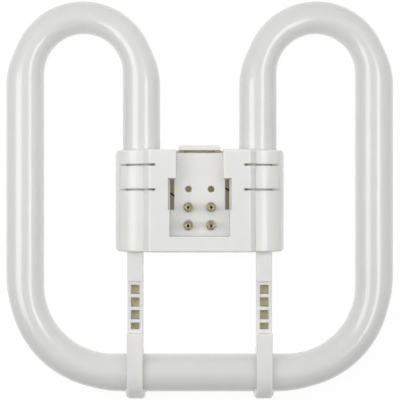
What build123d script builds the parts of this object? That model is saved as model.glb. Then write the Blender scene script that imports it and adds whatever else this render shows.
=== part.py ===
from build123d import *
import os
from math import cos, radians, sin, tan

# Flat four-pin compact fluorescent lamp, in millimetres. The origin is the middle of the four contact pins,
# on the floor of the cap's recess. +Z is the way the pins point and +Y runs towards the closed loops of the
# glass. The lamp lies on the flat back of its cap, with the pins up.

# Contact pins
pin_pitch_x = 7.92
pin_pitch_y = 6.35
pin_diameter = 2.35
pin_height = 6.8
pin_tip_chamfer = 0.4
pin_flange_diameter = 3.4
pin_flange_thickness = 0.5
pin_neck_diameter = 2.1
pin_swage_diameter = 3.0
pin_swage_thickness = 0.5
pin_tail = 2.4
pin_fit = 0.1
pin_eye_diameter = 1.0
pin_eye_depth = 1.6
pin_socket_depth = 4.0

# Recess that the block of the lamp holder enters
recess_depth = 7.0
recess_width = 20.8
recess_neck_width = 16.4
recess_below_pins = 6.9
recess_shoulder_y = 13.2
recess_floor = 1.6
recess_wall = 1.4
spare_hole_diameter = 2.3
latch_window_width = 1.5
latch_window_length = 10.7
latch_window_inset = 0.2
latch_relief = 0.5
top_slot = 1.1

# Cap shells
cap_above_pins = 23.2
cap_below_pins = 12.3
cap_wall = 2.2
cap_corner_round = 1.7
cap_edge_chamfer = 0.5
cap_side_land = 0.1
front_ridge_width = 34.8
front_ridge_rise = 2.4
back_ridge_rise = 1.8
ridge_slope_run = 1.9
ridge_round = 0.9
leg_fit = 0.35
leg_gap = 2.15
room_overlap = 1.6
strap_drop = 5.7
strap_height = 7.85
strap_slit = 0.7
strap_root_inset = 2.1
strap_end_height = 5.2
strap_end_slit = 0.4
lip_width = 15.0
lip_projection = 1.8
lip_height = 3.0
lip_round = 1.2

# Glass tube
tube_diameter = 13.3
glass_width = 136.9
loop_centre_y = 50.65
bottom_run_below_pins = 55.4
corner_radius = 30.85
loop_bend_thickness = 11.4
corner_bend_thickness = 12.4
bend_ease_run = 6.0
bend_ease_angle = 12.0
leg_end_y = 6.0
seal_length = 6.0
pinch_length = 4.0
pinch_thickness = 3.4

# Support clips
clip_offset = 1.9
clip_width = 5.5
clip_back_height = 1.6
clip_thickness = 4.8
clip_fit = 0.1
clip_edge_chamfer = 0.4
clip_head_width = 7.6
clip_head_thickness = 2.2
clip_head_length = 2.0
tongue_length = 10.3
ladder_length = 18.1
ladder_step = 0.8
ladder_margin = 1.3
pocket_pitch = 4.4
pocket_width = 3.0
pocket_height = 3.2
pocket_least = 2.0
pocket_floor = 1.0
hook_fit = 0.15
hook_wall = 2.3
hook_jaw_angle = 10.0
hook_end_angle = 235.0
foot_width = 6.8
foot_start_angle = 135.0
foot_round = 1.5

# Lead wires
wire_diameter = 0.6
wire_fit = 0.2
wire_spread = 5.0
wire_bend_radius = 4.0
wire_lead_in = 0.5
wire_wall_gap = 2.0
wire_end_gap = 0.3

# Sizes that follow from the ones above
tube_radius = tube_diameter / 2
leg_bore_radius = tube_radius + leg_fit
bulge_radius = leg_bore_radius + cap_wall
leg_x = recess_width / 2 + recess_wall + leg_gap + tube_radius
outer_leg_x = (glass_width - tube_diameter) / 2
loop_radius = (outer_leg_x - leg_x) / 2
bottom_run_y = -bottom_run_below_pins
pinch_y = leg_end_y - seal_length - pinch_length
tube_z = recess_depth - front_ridge_rise - bulge_radius
cap_bottom_y = -cap_below_pins
cap_height = cap_above_pins + cap_below_pins
cap_middle_y = cap_above_pins - cap_height / 2
cap_half_width = leg_x + bulge_radius - cap_side_land
front_depth = bulge_radius + front_ridge_rise
back_depth = bulge_radius + back_ridge_rise
room_half_width = leg_x - leg_bore_radius + room_overlap
clip_x = leg_x + clip_offset
pin_socket = wire_diameter + wire_fit
pin_tail_z = -recess_floor - pin_tail
wire_level_z = pin_tail_z - wire_lead_in - wire_bend_radius
pin_places = {
    "upper_left": (-pin_pitch_x / 2, pin_pitch_y / 2),
    "upper_right": (pin_pitch_x / 2, pin_pitch_y / 2),
    "lower_left": (-pin_pitch_x / 2, -pin_pitch_y / 2),
    "lower_right": (pin_pitch_x / 2, -pin_pitch_y / 2),
}


def box(x0, x1, y0, y1, z0, z1):
    """Block between two opposite corners."""
    middle = Pos((x0 + x1) / 2, (y0 + y1) / 2, (z0 + z1) / 2)
    return middle * Box(abs(x1 - x0), abs(y1 - y0), abs(z1 - z0))


def area(x0, x1, y0, y1):
    """Flat rectangle between two opposite corners."""
    return Pos((x0 + x1) / 2, (y0 + y1) / 2) * Rectangle(abs(x1 - x0), abs(y1 - y0))


# Discharge tube

def tube_section(point, heading, thickness):
    """The tube's outline square to its axis, as thick as given in the plane of the lamp."""
    return Plane(origin=point, x_dir=(0, 0, 1), z_dir=heading) * Ellipse(tube_radius, thickness / 2)


def tube_bend(side, centre_x, centre_y, radius, start_angle, turn, thickness):
    """A bend squeezed from outside, eased to the round tube at both ends. Angles are for the right half."""
    centre = Vector(side * centre_x, centre_y, tube_z)
    squeezed_radius = radius - tube_radius + thickness / 2
    eases = []
    for angle, way in ((start_angle, -1), (start_angle + turn, 1)):
        across, heading = bend_directions(side, angle)
        round_point = centre + across * radius + heading * way * bend_ease_run
        round_end = tube_section(round_point, heading, tube_diameter)
        across, heading = bend_directions(side, angle - way * bend_ease_angle)
        squeezed = tube_section(centre + across * squeezed_radius, heading, thickness)
        eases.append((squeezed, round_end))
    bend = revolve(eases[0][0], Axis(centre, (0, 0, side)), turn - 2 * bend_ease_angle)
    for squeezed, round_end in eases:
        bend += loft([squeezed, round_end])
    return bend


def bend_directions(side, angle):
    """Outward and forward directions at one angle of a bend."""
    across = Vector(side * cos(radians(angle)), sin(radians(angle)), 0)
    return across, Vector(-side * sin(radians(angle)), cos(radians(angle)), 0)


def tube_run(start, end):
    """A straight round stretch between two points."""
    along = Vector(*end) - Vector(*start)
    return extrude(Plane(origin=start, z_dir=along) * Circle(tube_radius), along.length)


def discharge_tube():
    corner_y = bottom_run_y + corner_radius
    run_half = outer_leg_x - corner_radius - bend_ease_run
    tube = tube_run((-run_half, bottom_run_y, tube_z), (run_half, bottom_run_y, tube_z))
    loop_x = leg_x + loop_radius
    loop_low_y = loop_centre_y - bend_ease_run
    for side in (-1, 1):
        tube += tube_run((side * leg_x, leg_end_y, tube_z), (side * leg_x, loop_low_y, tube_z))
        tube += tube_bend(side, loop_x, loop_centre_y, loop_radius, 0, 180, loop_bend_thickness)
        tube += tube_run(
            (side * outer_leg_x, corner_y + bend_ease_run, tube_z), (side * outer_leg_x, loop_low_y, tube_z)
        )
        tube += tube_bend(
            side, outer_leg_x - corner_radius, corner_y, corner_radius, -90, 90, corner_bend_thickness
        )
        tube += leg_seal(side)
    return tube


def leg_seal(side):
    """The end of a leg, pressed to a flat pinch that the lead wires come out of."""
    x, half = side * leg_x, pinch_thickness / 2
    shoulder_y = leg_end_y - seal_length
    upper = [(leg_end_y, tube_radius), (shoulder_y, half), (pinch_y, half)]
    wedge = Polygon(*upper, *[(y, -z) for y, z in reversed(upper)], align=None)
    pressed = extrude(Plane.YZ.offset(x - tube_radius) * Pos(0, tube_z) * wedge, tube_diameter)
    return pressed & tube_run((x, pinch_y, tube_z), (x, leg_end_y, tube_z))


# Cap shells, made with the joint between them at z = 0 and the outside up, then put in place

def shell_blank(depth, rise):
    """Solid half of the cap: a round bulge over each leg and a flat ridge between them."""
    ridge_half = front_ridge_width / 2
    overrun = 1.25
    foot_x, foot_h = ridge_half + overrun * ridge_slope_run, depth - overrun * rise
    right = [(foot_x, 0), (foot_x, foot_h), (ridge_half, depth)]
    ridge = Polygon(*right, *[(-x, h) for x, h in reversed(right)], align=None)
    outline = fillet(ridge.vertices().group_by(Axis.Y)[-1], ridge_round)
    for side in (-1, 1):
        outline += Pos(side * leg_x, 0) * Circle(bulge_radius)
    outline &= area(-cap_half_width, cap_half_width, 0, depth)
    blank = extrude(Plane.XZ.offset(-cap_above_pins) * outline, cap_height)
    outside = blank.edges().filter_by_position(Axis.Z, 0, depth, inclusive=(False, True))
    rims = outside.group_by(Axis.Y)
    blank = chamfer(rims[0] + rims[-1], cap_edge_chamfer)
    footprint = RectangleRounded(2 * cap_half_width, cap_height, cap_corner_round)
    return blank & extrude(Pos(0, cap_middle_y) * footprint, depth)


def shell_cavity(depth):
    """Room inside one shell, with the leg bores open through the top wall."""
    room = area(-room_half_width, room_half_width, 0, depth - cap_wall)
    bores = Sketch()
    for side in (-1, 1):
        bores += Pos(side * leg_x, 0) * Circle(leg_bore_radius)
    section = (room + bores) & area(-cap_half_width, cap_half_width, 0, depth)
    inside = extrude(Plane.XZ.offset(cap_wall - cap_above_pins) * section, cap_height - 2 * cap_wall)
    openings = bores & area(-cap_half_width, cap_half_width, 0, depth)
    return inside + extrude(Plane.XZ.offset(-cap_above_pins) * openings, 2 * cap_wall)


def recess_outline(margin):
    """The T of the recess, grown by a margin, open past the top of the cap."""
    wide, neck = recess_width / 2 + margin, recess_neck_width / 2 + margin
    low = -recess_below_pins - margin
    return area(-wide, wide, low, recess_shoulder_y + margin) + area(
        -neck, neck, low, cap_above_pins + cap_wall
    )


def cap_front():
    blank = Pos(0, 0, tube_z) * shell_blank(front_depth, front_ridge_rise)
    shell = blank - Pos(0, 0, tube_z) * shell_cavity(front_depth)
    pocket = extrude(Pos(0, 0, -recess_floor) * recess_outline(recess_wall), recess_depth + recess_floor)
    shell += pocket & blank
    shell -= extrude(recess_outline(0), recess_depth + cap_wall)
    neck = recess_neck_width / 2
    shell -= box(-neck, neck, cap_above_pins - top_slot, cap_above_pins + cap_wall, tube_z, recess_depth)

    window_top = recess_shoulder_y - latch_window_inset
    window_low = window_top - latch_window_length
    for side in (-1, 1):
        wall_x = side * recess_width / 2
        shell -= box(wall_x, wall_x + side * latch_relief, window_low, recess_shoulder_y, 0, recess_depth)
        shell -= box(wall_x, wall_x - side * latch_window_width, window_low, window_top, -recess_floor, 0)
        shell -= strap_slits(side)
        shell -= clip_socket(side)

    for x, y in pin_places.values():
        shell -= Pos(x, y, -recess_floor / 2) * Cylinder((pin_neck_diameter + pin_fit) / 2, recess_floor)
        seat = Cylinder((pin_flange_diameter + pin_fit) / 2, pin_flange_thickness)
        shell -= Pos(x, y, -pin_flange_thickness / 2) * seat
    spare_row_y = pin_pitch_y / 2 + pin_pitch_y
    for x in (-pin_pitch_x / 2, pin_pitch_x / 2):
        spare_hole = Cylinder(spare_hole_diameter / 2, recess_floor)
        shell -= Pos(x, spare_row_y, -recess_floor / 2) * spare_hole
    return shell


def strap_slits(side):
    """Cuts that free a spring strap over one leg: above it, below it and at its outer end."""
    root_x = side * (front_ridge_width / 2 - strap_root_inset)
    past_x = side * (cap_half_width + cap_wall)
    strap_top = cap_above_pins - strap_drop
    strap_low = strap_top - strap_height
    end_z = tube_z + strap_end_height
    above = box(root_x, past_x, strap_top, strap_top + strap_slit, end_z, recess_depth + cap_wall)
    below = box(root_x, past_x, strap_low - strap_slit, strap_low, end_z, recess_depth + cap_wall)
    end = box(
        side * leg_x, past_x, strap_low - strap_slit, strap_top + strap_slit, end_z, end_z + strap_end_slit
    )
    return above + below + end


def clip_socket(side):
    """Opening in the bottom wall for one clip's tongue, and room behind it for the clip's head."""
    half, head_half = clip_width / 2 + clip_fit, clip_head_width / 2 + clip_fit
    back_z = tube_z + clip_back_height - clip_fit
    head_y = cap_bottom_y + cap_wall
    through = box(
        side * clip_x - half, side * clip_x + half, cap_bottom_y, head_y,
        back_z, back_z + clip_thickness + 2 * clip_fit,
    )
    behind = box(
        side * clip_x - head_half, side * clip_x + head_half, head_y, head_y + clip_head_length + clip_fit,
        back_z, back_z + clip_head_thickness + 2 * clip_fit,
    )
    return through + behind


def cap_back():
    shell = shell_blank(back_depth, back_ridge_rise) - shell_cavity(back_depth)
    shell = Pos(0, 0, tube_z) * mirror(shell, Plane.XY)
    back_z = tube_z - back_depth
    lip = area(-lip_width / 2, lip_width / 2, cap_above_pins - cap_wall, cap_above_pins + lip_projection)
    lip = fillet(lip.vertices().group_by(Axis.Y)[-1], lip_round)
    shell += extrude(Pos(0, 0, back_z) * lip, back_depth + lip_height)
    well = lip_width / 2 - cap_wall
    lip_z = tube_z + lip_height
    shell -= box(-well, well, cap_above_pins - top_slot, cap_above_pins, back_z + cap_wall, lip_z)
    front_room = box(-lip_width / 2, lip_width / 2, cap_above_pins - cap_wall, cap_above_pins, tube_z, lip_z)
    return shell - front_room


# Contact pins

def contact_pin(x, y):
    """Turned pin, held by a flange flush in the floor and a swaged collar behind it."""
    flange, collar = pin_flange_diameter / 2, pin_swage_diameter / 2
    blank = area(0, pin_diameter / 2, 0, pin_height)
    blank = chamfer(blank.vertices().group_by(Axis.Y)[-1].sort_by(Axis.X)[-1], pin_tip_chamfer)
    blank += area(0, flange, -pin_flange_thickness, 0)
    blank += area(0, pin_neck_diameter / 2, pin_tail_z, -pin_flange_thickness)
    blank += area(0, collar, -recess_floor - pin_swage_thickness, -recess_floor)
    blank -= area(0, pin_socket / 2, pin_tail_z, pin_tail_z + pin_socket_depth)
    blank -= area(0, pin_eye_diameter / 2, pin_height - pin_eye_depth, pin_height)
    return Pos(x, y, 0) * revolve(Plane.XZ * blank, Axis.Z)


# Support clips

def support_clip(side):
    """Moulded arm from the cap's bottom wall to an open hook round the bottom run of the tube."""
    tongue_low = cap_bottom_y - tongue_length
    ladder_low = tongue_low - ladder_length
    back_z = tube_z + clip_back_height
    front_z = back_z + clip_thickness
    hook_inner = tube_radius + hook_fit
    hook_outer = hook_inner + hook_wall
    neck_y = cap_bottom_y + cap_wall

    arm = area(tongue_low, neck_y, back_z, front_z)
    arm += area(ladder_low, tongue_low, back_z, front_z - ladder_step)
    arm += area(bottom_run_y, ladder_low, back_z, tube_z + hook_outer)
    ring = Circle(hook_outer) & area(-hook_outer, hook_outer, 0, hook_outer)
    ring += hook_sector(hook_outer, -hook_jaw_angle, 0) + hook_sector(hook_outer, 180, hook_end_angle)
    arm += Pos(bottom_run_y, tube_z) * ring
    arm -= Pos(bottom_run_y, tube_z) * Circle(hook_inner)
    clip = extrude(Plane.YZ * arm, clip_width / 2, both=True)
    front_edges = clip.edges().filter_by(Axis.Y).filter_by_position(
        Axis.Z, back_z, tube_z + hook_outer, inclusive=(False, True)
    )
    clip = chamfer(front_edges, clip_edge_chamfer)

    head = box(
        -clip_head_width / 2, clip_head_width / 2, neck_y, neck_y + clip_head_length,
        back_z, back_z + clip_head_thickness,
    )
    clip += head
    pocket_low = ladder_low + ladder_margin
    top = tongue_low - ladder_margin
    while top - pocket_least >= pocket_low:
        low = max(top - pocket_height, pocket_low)
        clip -= box(-pocket_width / 2, pocket_width / 2, low, top, back_z + pocket_floor, front_z)
        top -= pocket_pitch
    clip += hook_foot(hook_inner, hook_outer)
    return Pos(side * clip_x, 0, 0) * clip


def hook_sector(radius, start, end):
    """Pie slice of the hook, seen from the side, between two angles turned from +Y towards +Z."""
    reach = 2 * radius
    rim = [(reach * cos(radians(a)), reach * sin(radians(a))) for a in (start, (start + end) / 2, end)]
    return Circle(radius) & Polygon((0, 0), *rim, align=None)


def hook_foot(inner, outer):
    """Wider lip of the hook where it passes under the tube, with rounded outer edges."""
    section = area(-foot_width / 2, foot_width / 2, inner, outer)
    section = fillet(section.vertices().group_by(Axis.Y)[-1], foot_round)
    tube_axis = Axis((0, bottom_run_y, tube_z), (1, 0, 0))
    front = Plane(origin=(0, bottom_run_y, tube_z), x_dir=(1, 0, 0), z_dir=(0, -1, 0))
    start = (front * section).rotate(tube_axis, foot_start_angle - 90)
    return revolve(start, tube_axis, hook_end_angle - foot_start_angle)


# Lead wires

def lead_wire(points):
    """Bare wire, six-sided to stay light, along straight runs and the widest arcs between them."""
    points = [Vector(*p) for p in points]
    arc_share = 0.45
    radii = []
    for before, corner, after in zip(points, points[1:], points[2:]):
        turn = radians((corner - before).get_angle(after - corner))
        run = min((corner - before).length, (after - corner).length)
        radii.append(arc_share * run / tan(turn / 2))
    radii[-1] = min(radii[-1], wire_bend_radius)
    route = FilletPolyline(*points, radius=radii)
    end = Plane(origin=points[0], z_dir=points[1] - points[0])
    return sweep(end * RegularPolygon(wire_diameter / 2, 6), path=route)


def wire_routes():
    """Each wire from its pinch to the tail socket of its pin, through the room behind the floor."""
    top = pin_tail_z + pin_socket_depth - wire_end_gap
    low_y = cap_bottom_y + cap_wall + wire_wall_gap
    inner, outer = leg_x - wire_spread / 2, leg_x + wire_spread / 2
    flank = leg_x - tube_radius - leg_gap / 2
    deep = wire_level_z
    ends = {name: [(x, y, deep), (x, y, top)] for name, (x, y) in pin_places.items()}
    return {
        "upper_left": [
            (-inner, pinch_y, tube_z), (-inner, pinch_y - 2.4, tube_z), (-flank - 1.6, pinch_y - 1.4, deep),
            (-flank, pinch_y + 3.6, deep), (-flank, 5.6, deep), (-flank + 1.4, 8.9, deep),
            *ends["upper_left"],
        ],
        "upper_right": [
            (inner, pinch_y, tube_z), (inner, pinch_y - 2.4, tube_z), (flank + 1.6, pinch_y - 1.4, deep),
            (flank, pinch_y + 3.6, deep), (flank, 4.2, deep), (flank - 0.9, 8.6, deep), (7.0, 10.8, deep),
            (4.4, 8.2, deep), *ends["upper_right"],
        ],
        "lower_left": [
            (-outer, pinch_y, tube_z), (-outer, pinch_y - 2.6, tube_z), (-outer + 4.0, low_y, deep),
            (-flank, low_y, deep), *ends["lower_left"],
        ],
        "lower_right": [
            (outer, pinch_y, tube_z), (outer, pinch_y - 2.6, tube_z), (outer - 4.0, low_y, deep),
            (flank, low_y, deep), *ends["lower_right"],
        ],
    }


nodes = {"discharge_tube": discharge_tube(), "cap_front": cap_front(), "cap_back": cap_back()}
for name, side in (("left", -1), ("right", 1)):
    nodes[f"support_clip_{name}"] = support_clip(side)
for name, (x, y) in pin_places.items():
    nodes[f"contact_pin_{name}"] = contact_pin(x, y)
for name, points in wire_routes().items():
    nodes[f"lead_wire_{name}"] = lead_wire(points)

os.makedirs("parts", exist_ok=True)
for name, solid in nodes.items():
    export_step(solid, f"parts/{name}.step")
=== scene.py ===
from math import atan2, cos, pi, radians

import bmesh
import bpy
from mathutils import Matrix, Vector


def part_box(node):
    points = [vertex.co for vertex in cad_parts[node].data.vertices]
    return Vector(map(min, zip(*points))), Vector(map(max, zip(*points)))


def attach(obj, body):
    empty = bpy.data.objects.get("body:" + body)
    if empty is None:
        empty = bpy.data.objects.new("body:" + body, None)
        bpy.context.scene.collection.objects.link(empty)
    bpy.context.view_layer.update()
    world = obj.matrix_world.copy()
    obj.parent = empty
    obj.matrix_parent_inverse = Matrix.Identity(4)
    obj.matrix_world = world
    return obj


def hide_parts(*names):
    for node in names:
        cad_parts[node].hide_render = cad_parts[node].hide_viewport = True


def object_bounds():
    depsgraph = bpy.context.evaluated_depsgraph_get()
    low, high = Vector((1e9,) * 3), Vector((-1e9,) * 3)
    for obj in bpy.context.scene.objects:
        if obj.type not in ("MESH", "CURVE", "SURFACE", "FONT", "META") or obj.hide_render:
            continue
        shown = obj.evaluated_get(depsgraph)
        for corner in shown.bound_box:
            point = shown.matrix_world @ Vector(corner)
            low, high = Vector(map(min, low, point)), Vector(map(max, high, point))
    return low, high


# Flat square four-pin compact fluorescent lamp, lying on the back of its cap with the pins up. All sizes are
# in metres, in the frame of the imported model.
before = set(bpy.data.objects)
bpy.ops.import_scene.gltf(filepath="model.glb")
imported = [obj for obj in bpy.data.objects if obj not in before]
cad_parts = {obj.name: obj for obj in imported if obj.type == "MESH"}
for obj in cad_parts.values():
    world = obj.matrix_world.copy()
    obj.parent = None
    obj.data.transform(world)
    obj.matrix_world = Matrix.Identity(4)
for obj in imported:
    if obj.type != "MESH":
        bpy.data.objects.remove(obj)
cad_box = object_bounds()

# Discharge tube: one drawn glass tube, bent flat in the flame into two closed loops and two wide corners.
# The glass is clear and smooth, and white phosphor powder inside makes it opaque under the gloss.
# Its ends are pressed to flat seals, which are cemented into the cap.
mm = 0.001
tube_low, tube_high = (Vector(corner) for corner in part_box("discharge_tube"))
tube_radius = (tube_high.z - tube_low.z) / 2
tube_z = (tube_high.z + tube_low.z) / 2
outer_leg_x = tube_high.x - tube_radius
inner_leg_x = 20.6 * mm
loop_radius = (outer_leg_x - inner_leg_x) / 2
loop_thickness = 11.4 * mm
loop_centre_y = tube_high.y - loop_radius - loop_thickness + tube_radius
corner_radius = 30.85 * mm
corner_thickness = 12.4 * mm
corner_centre_y = tube_low.y + tube_radius + corner_radius
ease_run = 4 * mm
ease_steps = 4
squeeze_length = 13 * mm
bend_step_degrees = 3
leg_end_y = 6 * mm
seal_length = 6 * mm
pinch_length = 4 * mm
pinch_thickness = 3.4 * mm
tube_sides = 64

glass = bmesh.new()
ring_turn = Matrix.Rotation(radians(90), 4, "X")
place = Matrix.Translation((-inner_leg_x, leg_end_y, tube_z))
bmesh.ops.create_circle(glass, radius=tube_radius, segments=tube_sides, matrix=place @ ring_turn)


def carry_on(mesh, ring, move, scale, about):
    """Extrudes a ring of edges, scales the new ring about a place and moves it. Returns its edges."""
    made = bmesh.ops.extrude_edge_only(mesh, edges=ring)["geom"]
    verts = [part for part in made if isinstance(part, bmesh.types.BMVert)]
    bmesh.ops.scale(mesh, vec=scale, space=about.inverted(), verts=verts)
    bmesh.ops.transform(mesh, matrix=move, verts=verts)
    ends = set(verts)
    return [edge for edge in {e for v in verts for e in v.link_edges} if ends.issuperset(edge.verts)]


def bend(radius, angle, thickness):
    """Short steps of one bend: run, degrees turned, radius of the turn and thickness after the step."""
    eases = [(ease_run / ease_steps, 0)] * ease_steps
    gone, length = 0, 2 * ease_run + radians(angle) * radius
    steps = []
    for run, turned in [*eases, *[(0, bend_step_degrees)] * (angle // bend_step_degrees), *eases]:
        gone += run + radians(turned) * radius
        squeezed = (1 - cos(pi * min(gone, length - gone, squeeze_length) / squeeze_length)) / 2
        steps.append((run, turned, radius, 2 * tube_radius + (thickness - 2 * tube_radius) * squeezed))
    return steps


leg_run = [(loop_centre_y - ease_run - leg_end_y, 0, 0, 2 * tube_radius)]
outer_run = [(loop_centre_y - corner_centre_y - 2 * ease_run, 0, 0, 2 * tube_radius)]
bottom_run = [(2 * (outer_leg_x - corner_radius - ease_run), 0, 0, 2 * tube_radius)]
loop = bend(loop_radius, 180, loop_thickness)
corner = bend(corner_radius, 90, corner_thickness)

# The flame softens the outside of a bend, so it is squeezed there and its inner side stays in line.
first_ring = ring = list(glass.edges)
thickness = 2 * tube_radius
half_route = leg_run + loop + outer_run + corner
for run, turned, radius, wanted in half_route + bottom_run + corner + outer_run + loop + leg_run:
    inner_side = place @ Matrix.Translation((-tube_radius, 0, 0))
    turn = Matrix.Rotation(radians(turned), 4, "Z") @ Matrix.Translation((radius, 0, 0))
    onward = place @ Matrix.Translation((-radius, run, 0)) @ turn
    ring = carry_on(glass, ring, onward @ place.inverted(), (wanted / thickness, 1, 1), inner_side)
    place, thickness = onward, wanted

tube_level = Matrix.Translation((0, 0, tube_z))
for ring in (first_ring, ring):
    pressed = (1, 1, pinch_thickness / (2 * tube_radius))
    ring = carry_on(glass, ring, Matrix.Translation((0, -seal_length, 0)), pressed, tube_level)
    ring = carry_on(glass, ring, Matrix.Translation((0, -pinch_length, 0)), (1, 1, 1), tube_level)
    bmesh.ops.holes_fill(glass, edges=ring, sides=tube_sides)
bmesh.ops.recalc_face_normals(glass, faces=glass.faces)
sharp_angle = radians(30)


def finish_piece(name, mesh, materials, slot, *nodes):
    """Makes an object of a bmesh at the origin, in its materials, that stands for CAD nodes."""
    data = bpy.data.meshes.new(name)
    mesh.to_mesh(data)
    mesh.free()
    data.shade_smooth()
    data.set_sharp_from_angle(angle=sharp_angle)
    piece = bpy.data.objects.new(name, data)
    bpy.context.collection.objects.link(piece)
    for material in materials:
        data.materials.append(material)
    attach(piece, "root")
    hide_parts(*nodes)
    return piece


def colour(code):
    """Linear colour of an sRGB hex value."""
    parts = [int(code[i:i + 2], 16) / 255 for i in (1, 3, 5)]
    return [*(p / 12.92 if p <= 0.04045 else ((p + 0.055) / 1.055) ** 2.4 for p in parts), 1]


def add(tree, kind, inputs, **settings):
    """Adds a node with its settings. An input is linked where it is given a socket, and set otherwise."""
    node = tree.nodes.new(kind)
    for name, value in settings.items():
        setattr(node, name, value)
    for name, value in inputs.items():
        if isinstance(value, bpy.types.NodeSocket):
            tree.links.new(value, node.inputs[name])
        else:
            node.inputs[name].default_value = value
    return node


def new_finish(name, sockets):
    """Makes a material with values on its shader. Returns it, its tree, shader and Object coordinates."""
    material = bpy.data.materials.new(name)
    material.use_nodes = True
    shader = material.node_tree.nodes["Principled BSDF"]
    for socket, value in sockets.items():
        shader.inputs[socket].default_value = value
    here = add(material.node_tree, "ShaderNodeTexCoord", {}).outputs["Object"]
    return material, material.node_tree, shader, here


# Phosphor-coated soda-lime glass. The powder is matt and a little uneven in thickness, in soft clouds about
# 9 mm wide. The drawn glass over it is a smooth coat whose reflections waver a little.
coated_glass, tree, shader, here = new_finish(
    "phosphor_coated_glass",
    {"Roughness": 0.45, "Coat Weight": 1.0, "Coat Roughness": 0.12, "Coat IOR": 1.5},
)
clouds = add(tree, "ShaderNodeTexNoise", {"Vector": here, "Scale": 1 / (9 * mm), "Detail": 3.0})
powder = add(
    tree, "ShaderNodeMix",
    {0: clouds.outputs["Fac"], 6: colour("#D5D5D3"), 7: colour("#DBDBD9")}, data_type="RGBA",
)
waver = add(tree, "ShaderNodeTexNoise", {"Vector": here, "Scale": 1 / (25 * mm), "Detail": 1.0})
drawn = add(
    tree, "ShaderNodeBump", {"Height": waver.outputs["Fac"], "Strength": 0.3, "Distance": 0.15 * mm}
)
tree.links.new(powder.outputs[2], shader.inputs["Base Color"])
tree.links.new(drawn.outputs["Normal"], shader.inputs["Coat Normal"])
finish_piece("discharge_tube_glass", glass, [coated_glass], "coated_glass", "discharge_tube")

# Cap: two white mouldings that close round the ends of the tube. The front one has the recess for the lamp
# holder, the spring straps and the sockets of the clips. Both are injection moulded, with slightly
# rounded edges.
merge_distance = 0.001 * mm
flat_angle = radians(0.5)


def moulding(node, hidden):
    """Merged copy of a moulded CAD node, with the faces that a test picks out in the second finish, which
    paints shade on them.
    """
    mesh = bmesh.new()
    mesh.from_mesh(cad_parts[node].data)
    bmesh.ops.remove_doubles(mesh, verts=mesh.verts, dist=merge_distance)
    bmesh.ops.dissolve_limit(mesh, angle_limit=flat_angle, verts=mesh.verts, edges=mesh.edges)
    for face in mesh.faces:
        face.material_index = int(hidden(face.calc_center_median()))
    return mesh


def break_edges(piece, width):
    """Rounds the sharp edges of a moulding and merges the corners that meet in the rounding."""
    bevel = piece.modifiers.new("broken_edges", "BEVEL")
    bevel.width = width
    bevel.segments = 2
    bevel.limit_method = "ANGLE"
    bevel.angle_limit = sharp_angle
    bevel.use_clamp_overlap = True
    bevel.harden_normals = True
    weld = piece.modifiers.new("merged_corners", "WELD")
    weld.merge_threshold = merge_distance


# Injection-moulded white polyester. It lets a little light in and is satin, with a fine spark-eroded grain
# from the mould, drawn at 0.4 mm so that it shows, and very faint flow clouds about 15 mm wide.
polyester = {
    "IOR": 1.55, "Subsurface Weight": 0.8,
    "Subsurface Radius": (1.0, 0.93, 0.72), "Subsurface Scale": 1.2 * mm,
}
white_polyester, tree, shader, here = new_finish("moulded_white_polyester", polyester)
flow = add(tree, "ShaderNodeTexNoise", {"Vector": here, "Scale": 1 / (15 * mm), "Detail": 2.0})
resin = add(
    tree, "ShaderNodeMix",
    {0: flow.outputs["Fac"], 6: colour("#E5E5E3"), 7: colour("#EBEBE9")}, data_type="RGBA",
)
grain = add(tree, "ShaderNodeTexNoise", {"Vector": here, "Scale": 1 / (0.4 * mm), "Detail": 2.0})
eroded = add(
    tree, "ShaderNodeBump", {"Height": grain.outputs["Fac"], "Strength": 0.15, "Distance": 0.05 * mm}
)
satin = add(tree, "ShaderNodeMapRange", {"Value": grain.outputs["Fac"], "To Min": 0.22, "To Max": 0.3})
tree.links.new(resin.outputs[2], shader.inputs["Base Color"])
tree.links.new(eroded.outputs["Normal"], shader.inputs["Normal"])
tree.links.new(satin.outputs["Result"], shader.inputs["Roughness"])

# The same polyester on its unlit inside faces, off the cores of the mould, dull and unpolished, with painted
# shade: a darker khaki tone, uneven in blotches about 3 mm wide, stands in for the shade in the room of the
# cap, in the strap slits and in the pockets of the clips.
painted_shade_polyester, tree, shader, here = new_finish(
    "polyester_with_painted_shade", {**polyester, "Roughness": 0.7}
)
shade_blotches = add(tree, "ShaderNodeTexNoise", {"Vector": here, "Scale": 1 / (3 * mm), "Detail": 3.0})
painted_shade_tone = add(
    tree, "ShaderNodeMix",
    {0: shade_blotches.outputs["Fac"], 6: colour("#CCC9AF"), 7: colour("#D9D7C3")}, data_type="RGBA",
)
tree.links.new(painted_shade_tone.outputs[2], shader.inputs["Base Color"])

front_low, front_high = (Vector(corner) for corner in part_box("cap_front"))
room_half_width = 15.3 * mm
room_low_y = front_low.y + 1 * mm
room_high_y = front_high.y - 0.01 * mm
room_front_z = -1.55 * mm
room_back_z = -13.5 * mm
slit_middles = (9.3 * mm, 17.85 * mm)
slit_reach = 0.4 * mm
slit_root_x = 15.2 * mm
slit_low_z = 0.5 * mm


def in_cap_room(point):
    """True in the room behind the recess floor, where the lead wires run, and in the slits of the straps: the
    faces that get painted shade.
    """
    in_room = abs(point.x) < room_half_width and room_low_y < point.y < room_high_y
    in_room = in_room and room_back_z < point.z < room_front_z
    beside_slit = any(abs(point.y - middle) < slit_reach for middle in slit_middles)
    return in_room or (beside_slit and abs(point.x) > slit_root_x and point.z > slit_low_z)


# The second finish paints shade on the inside faces that the test picks out.
cap_finish = [white_polyester, painted_shade_polyester]
moulding_edge = 0.12 * mm
for node in ("cap_front", "cap_back"):
    mesh = moulding(node, in_cap_room)
    break_edges(finish_piece(f"{node}_shell", mesh, cap_finish, "cap_plastic", node), moulding_edge)

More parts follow.
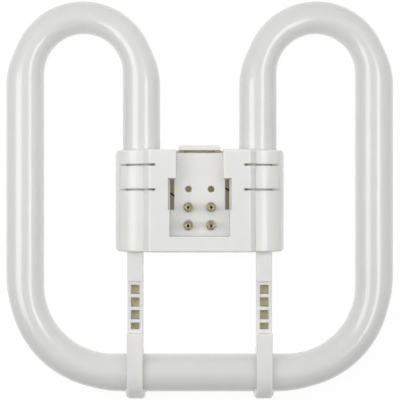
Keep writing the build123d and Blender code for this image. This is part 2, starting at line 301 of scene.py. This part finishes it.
# Contact pins: four turned brass pins with a pale plating. Each is pushed through the recess floor up to
# its flange, and swaged over behind. The tip is rounded and has the eye that the turning leaves.
pin_radius = 1.175 * mm
pin_neck_radius = 1.05 * mm
pin_flange_thickness = 0.5 * mm
pin_eye_radius = 0.5 * mm
pin_eye_depth = 1.6 * mm
pin_collar_radius = 1.5 * mm
floor_thickness = 1.6 * mm
collar_thickness = 0.5 * mm
pin_socket_radius = 0.4 * mm
pin_socket_depth = 4 * mm
pin_tip_round = 0.5 * mm
pin_edge_round = 0.08 * mm
pin_steps = 48
rim_reach = 0.01 * mm

# Turned brass with a thin tin plating that the brass still shows through: pale and semi-bright, with fine
# tool rings along the shank, drawn 0.5 mm apart so that they show. Handling has dented the tip a little.
plated_brass, tree, shader, here = new_finish("turned_plated_brass", {"Metallic": 1.0, "Roughness": 0.3})
rings = add(
    tree, "ShaderNodeTexWave", {"Vector": here, "Scale": 1 / (0.5 * mm), "Distortion": 1.0, "Detail": 1.0},
    wave_type="BANDS", bands_direction="Z",
)
tarnish = add(tree, "ShaderNodeTexNoise", {"Vector": here, "Scale": 1 / (1 * mm), "Detail": 3.0})
plate = add(
    tree, "ShaderNodeMix",
    {0: tarnish.outputs["Fac"], 6: colour("#7C7860"), 7: colour("#A8A38C")}, data_type="RGBA",
)
tooled = add(
    tree, "ShaderNodeBump", {"Height": rings.outputs["Fac"], "Strength": 0.2, "Distance": 0.02 * mm}
)
dents = add(tree, "ShaderNodeTexNoise", {"Vector": here, "Scale": 1 / (0.9 * mm), "Detail": 1.0})
dented = add(
    tree, "ShaderNodeBump",
    {
        "Height": dents.outputs["Fac"], "Strength": 0.8, "Distance": 0.4 * mm,
        "Normal": tooled.outputs["Normal"],
    },
)
tree.links.new(plate.outputs[2], shader.inputs["Base Color"])
tree.links.new(dented.outputs["Normal"], shader.inputs["Normal"])

# Painted shade in the eye of each pin: a dark finish, dull and specked, stands in for the shade in the hole.
painted_eye_shade, tree, shader, here = new_finish("painted_shade_in_pin_eye", {"Roughness": 0.6})
shade_specks = add(tree, "ShaderNodeTexNoise", {"Vector": here, "Scale": 1 / (0.3 * mm), "Detail": 2.0})
eye_shade_tone = add(
    tree, "ShaderNodeMix",
    {0: shade_specks.outputs["Fac"], 6: colour("#1A1407"), 7: colour("#332A12")}, data_type="RGBA",
)
tree.links.new(eye_shade_tone.outputs[2], shader.inputs["Base Color"])

for node in [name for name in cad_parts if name.startswith("contact_pin")]:
    pin_low, pin_high = (Vector(corner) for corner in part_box(node))
    pin_x, pin_y = ((pin_low + pin_high) / 2).xy
    flange_radius = (pin_high.x - pin_low.x) / 2
    collar_low = -floor_thickness - collar_thickness
    eye_end = pin_high.z - pin_eye_depth
    socket_end = pin_low.z + pin_socket_depth
    profile = [
        (0, eye_end), (pin_eye_radius, eye_end), (pin_eye_radius, pin_high.z), (pin_radius, pin_high.z),
        (pin_radius, 0), (flange_radius, 0), (flange_radius, -pin_flange_thickness),
        (pin_neck_radius, -pin_flange_thickness), (pin_neck_radius, -floor_thickness),
        (pin_collar_radius, -floor_thickness), (pin_collar_radius, collar_low), (pin_neck_radius, collar_low),
        (pin_neck_radius, pin_low.z), (pin_socket_radius, pin_low.z), (pin_socket_radius, socket_end),
        (0, socket_end),
    ]
    pin = bmesh.new()
    points = [pin.verts.new((pin_x + r, pin_y, z)) for r, z in profile]
    outline = [pin.edges.new(pair) for pair in zip(points, points[1:])]
    bmesh.ops.spin(
        pin, geom=points + outline, cent=(pin_x, pin_y, 0), axis=(0, 0, 1), angle=2 * pi, steps=pin_steps,
        use_merge=True,
    )
    bmesh.ops.remove_doubles(pin, verts=pin.verts, dist=merge_distance)
    bmesh.ops.recalc_face_normals(pin, faces=pin.faces)
    for radius, z, width, segments in (
        (pin_radius, pin_high.z, pin_tip_round, 5), (pin_eye_radius, pin_high.z, pin_edge_round, 2),
        (flange_radius, 0, pin_edge_round, 2),
    ):
        middle = Vector((pin_x, pin_y, z))
        rim = [e for e in pin.edges if all(abs((v.co - middle).length - radius) < rim_reach for v in e.verts)]
        rim = [e for e in rim if all(abs(v.co.z - z) < rim_reach for v in e.verts)]
        bmesh.ops.bevel(
            pin, geom=rim, offset=width, segments=segments, profile=0.5, affect="EDGES", material=-1
        )
    # The faces in the eye take the painted shade.
    for face in pin.faces:
        spot = face.calc_center_median() - Vector((pin_x, pin_y, pin_high.z))
        in_eye = spot.xy.length < pin_eye_radius + pin_edge_round / 2 and spot.z > -2 * pin_eye_depth
        face.material_index = int(in_eye)
    finish_piece(f"{node}_turned", pin, [plated_brass, painted_eye_shade], "pin_brass", node)

# Support clips: two white moulded arms. Each hangs by a head behind the bottom wall of the cap, has a ladder
# of coring pockets to keep its wall thin, and ends in an open hook that snaps round the bottom run.
pocket_half_width = 1.52 * mm
ladder_low_y = -41 * mm
ladder_high_y = -23.5 * mm
pocket_low_z = -2.05 * mm
pocket_high_z = 0.95 * mm


def in_pocket(clip_x):
    """Test for the faces of one clip's pockets, below its front face, that get painted shade."""
    return lambda point: abs(point.x - clip_x) < pocket_half_width and (
        ladder_low_y < point.y < ladder_high_y and pocket_low_z < point.z < pocket_high_z
    )


for side in ("left", "right"):
    node = f"support_clip_{side}"
    clip_low, clip_high = (Vector(corner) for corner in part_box(node))
    # The pocket faces take the painted shade of the inside finish.
    mesh = moulding(node, in_pocket((clip_low.x + clip_high.x) / 2))
    break_edges(finish_piece(f"{node}_arm", mesh, cap_finish, "clip_plastic", node), moulding_edge)

# Lead wires: four bare nickel-iron wires from the seals of the tube to the pins, darkened by the heat of
# sealing. Only a slant of them shows in the latch windows, and they keep the meshes of the CAD.

# Nickel-iron wire under a thin dark scale, dull and in spots about 0.8 mm wide.
oxidised_wire, tree, shader, here = new_finish(
    "oxidised_nickel_iron_wire", {"Metallic": 0.6, "Roughness": 0.5}
)
scale_spots = add(tree, "ShaderNodeTexNoise", {"Vector": here, "Scale": 1 / (0.8 * mm), "Detail": 2.0})
oxide = add(
    tree, "ShaderNodeMix",
    {0: scale_spots.outputs["Fac"], 6: colour("#1C1A18"), 7: colour("#37332E")}, data_type="RGBA",
)
tree.links.new(oxide.outputs[2], shader.inputs["Base Color"])
for node in [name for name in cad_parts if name.startswith("lead_wire")]:
    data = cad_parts[node].data
    data.materials.clear()
    data.materials.append(oxidised_wire)

# Studio: a white table under white surroundings. What the camera sees of the table is lifted to white, with
# a trace of the lamp's shadow left on it.
table_half = 2.0
mesh = bmesh.new()
table_place = Matrix.Translation((0, 0, cad_box[0][2]))
bmesh.ops.create_grid(mesh, x_segments=1, y_segments=1, size=table_half, matrix=table_place)
data = bpy.data.meshes.new("table")
mesh.to_mesh(data)
mesh.free()
table = bpy.data.objects.new("table", data)
bpy.context.collection.objects.link(table)


def seen_in_picture(tree):
    """Value that is 1 for what the camera sees, straight or in gloss or through glass, and 0 for light."""
    rays = add(tree, "ShaderNodeLightPath", {}).outputs
    seen = add(
        tree, "ShaderNodeMath", {0: rays["Is Camera Ray"], 1: rays["Is Glossy Ray"]}, operation="MAXIMUM"
    )
    seen = add(
        tree, "ShaderNodeMath", {0: seen.outputs[0], 1: rays["Is Transmission Ray"]}, operation="MAXIMUM"
    )
    return seen.outputs[0]


# Matt white table top, lit a little from below, and brighter to the eye than the light that it gives the
# lamp.
white = (1, 1, 1, 1)
table_glow = 0.35
shown_level = 1.06
shown_share = 0.86
white_table = bpy.data.materials.new("matt_white_table")
white_table.use_nodes = True
tree = white_table.node_tree
tree.nodes.remove(tree.nodes["Principled BSDF"])
lit_top = add(tree, "ShaderNodeBsdfDiffuse", {"Color": colour("#F0F0F0")})
bright_top = add(tree, "ShaderNodeEmission", {"Color": white, "Strength": shown_level})
shown_top = add(
    tree, "ShaderNodeMixShader", {0: shown_share, 1: lit_top.outputs[0], 2: bright_top.outputs[0]}
)
glow = add(tree, "ShaderNodeEmission", {"Color": white, "Strength": table_glow})
back_lit_top = add(tree, "ShaderNodeAddShader", {0: lit_top.outputs[0], 1: glow.outputs[0]})
top = add(
    tree, "ShaderNodeMixShader",
    {0: seen_in_picture(tree), 1: back_lit_top.outputs[0], 2: shown_top.outputs[0]},
)
tree.links.new(top.outputs[0], tree.nodes["Material Output"].inputs["Surface"])
data.materials.append(white_table)

# White surroundings that light the lamp from all sides, most from left and right, and more from the right
# and from its closed loops. To the eye they are even white.
level_by_side = (0.44, 0.25, 0)
level_slope = (0.075, 0.13, 0)
world = bpy.data.worlds.new("white_surroundings")
bpy.context.scene.world = world
world.use_nodes = True
tree = world.node_tree
sky = tree.nodes["Background"]
way = add(tree, "ShaderNodeTexCoord", {}).outputs["Generated"]
spread = add(tree, "ShaderNodeVectorMath", {0: way}, operation="ABSOLUTE").outputs["Vector"]
sides = add(tree, "ShaderNodeVectorMath", {0: spread, 1: level_by_side}, operation="DOT_PRODUCT")
slope = add(tree, "ShaderNodeVectorMath", {0: way, 1: level_slope}, operation="DOT_PRODUCT")
level = add(
    tree, "ShaderNodeMath", {0: sides.outputs["Value"], 1: slope.outputs["Value"]}, operation="ADD"
)
strength = add(tree, "ShaderNodeMix", {0: seen_in_picture(tree), 2: level.outputs[0], 3: 1.0})
tree.links.new(strength.outputs[0], sky.inputs["Strength"])
sky.inputs["Color"].default_value = white


def area_light(name, place, width, length, radiance):
    """Adds a rectangular light that shines down and that the camera doesn't see."""
    light = bpy.data.lights.new(name, "AREA")
    light.shape = "RECTANGLE"
    light.size = width
    light.size_y = length
    light.energy = radiance * pi * width * length
    lamp = bpy.data.objects.new(name, light)
    lamp.location = place
    lamp.visible_camera = False
    bpy.context.collection.objects.link(lamp)
    return lamp


# Lights above the lamp, turned to it. Two strips draw the lines of gloss along the glass. The others light
# the shapes and stay out of the gloss: a key light on the left, a panel overhead, and a light on each side
# that throws the soft shadows of the pins.
light_height = 270 * mm
for name, light_x, light_y, width, length, radiance, unseen in (
    ("gloss_strip_left", -218 * mm, -5 * mm, 195 * mm, 220 * mm, 3.1, "visible_diffuse"),
    ("gloss_strip_right", 147 * mm, -5 * mm, 95 * mm, 220 * mm, 3.9, "visible_diffuse"),
    ("soft_key_left", -212 * mm, 50 * mm, 175 * mm, 220 * mm, 2.1, "visible_glossy"),
    ("side_light_left", -212 * mm, 0, 175 * mm, 90 * mm, 1.8, "visible_glossy"),
    ("side_light_right", 200 * mm, 0, 150 * mm, 90 * mm, 3.2, "visible_glossy"),
    ("soft_panel_overhead", -5 * mm, 90 * mm, 260 * mm, 260 * mm, 1.68, "visible_glossy"),
):
    lamp = area_light(name, (light_x, light_y, tube_z + light_height), width, length, radiance)
    lamp.rotation_euler = (0, atan2(light_x, light_height), 0)
    setattr(lamp, unseen, False)

# Weak lights inside the cap, low in the slot behind its thumb lip and at the inner ends of the strap slits,
# for the daylight that comes through the thin walls.
cap_height = front_high.y - front_low.y
cap_middle_y = (front_high.y + front_low.y) / 2
under_recess_floor_z = room_front_z - 0.1 * mm
area_light(
    "light_in_cap", (0, cap_middle_y, under_recess_floor_z), 2 * room_half_width, cap_height, radiance=0.31
)
slot_length = 10.6 * mm
slot_width = 1.1 * mm
slot_light_z = -11 * mm
slot_middle_y = front_high.y - slot_width / 2
area_light("light_in_lip_slot", (0, slot_middle_y, slot_light_z), slot_length, slot_width, radiance=1.05)
slit_light_x = 17.3 * mm
slit_light_z = 2.1 * mm
slit_light_length = 3.8 * mm
slit_width = 0.7 * mm
for light_x in (-slit_light_x, slit_light_x):
    for light_y in slit_middles:
        slit_place = (light_x, light_y, slit_light_z)
        area_light("light_in_strap_slit", slit_place, slit_light_length, slit_width, radiance=0.5)

# Camera straight above the pins. Its distance and lens give the photo's perspective and frame.
camera_data = bpy.data.cameras.new("camera")
camera_data.lens = 88.86
camera_data.sensor_width = 36
camera = bpy.data.objects.new("camera", camera_data)
camera.location = (0.1 * mm, 5.7 * mm, 345.4 * mm)
bpy.context.collection.objects.link(camera)
bpy.context.scene.camera = camera
bpy.context.scene.view_settings.view_transform = "Standard"
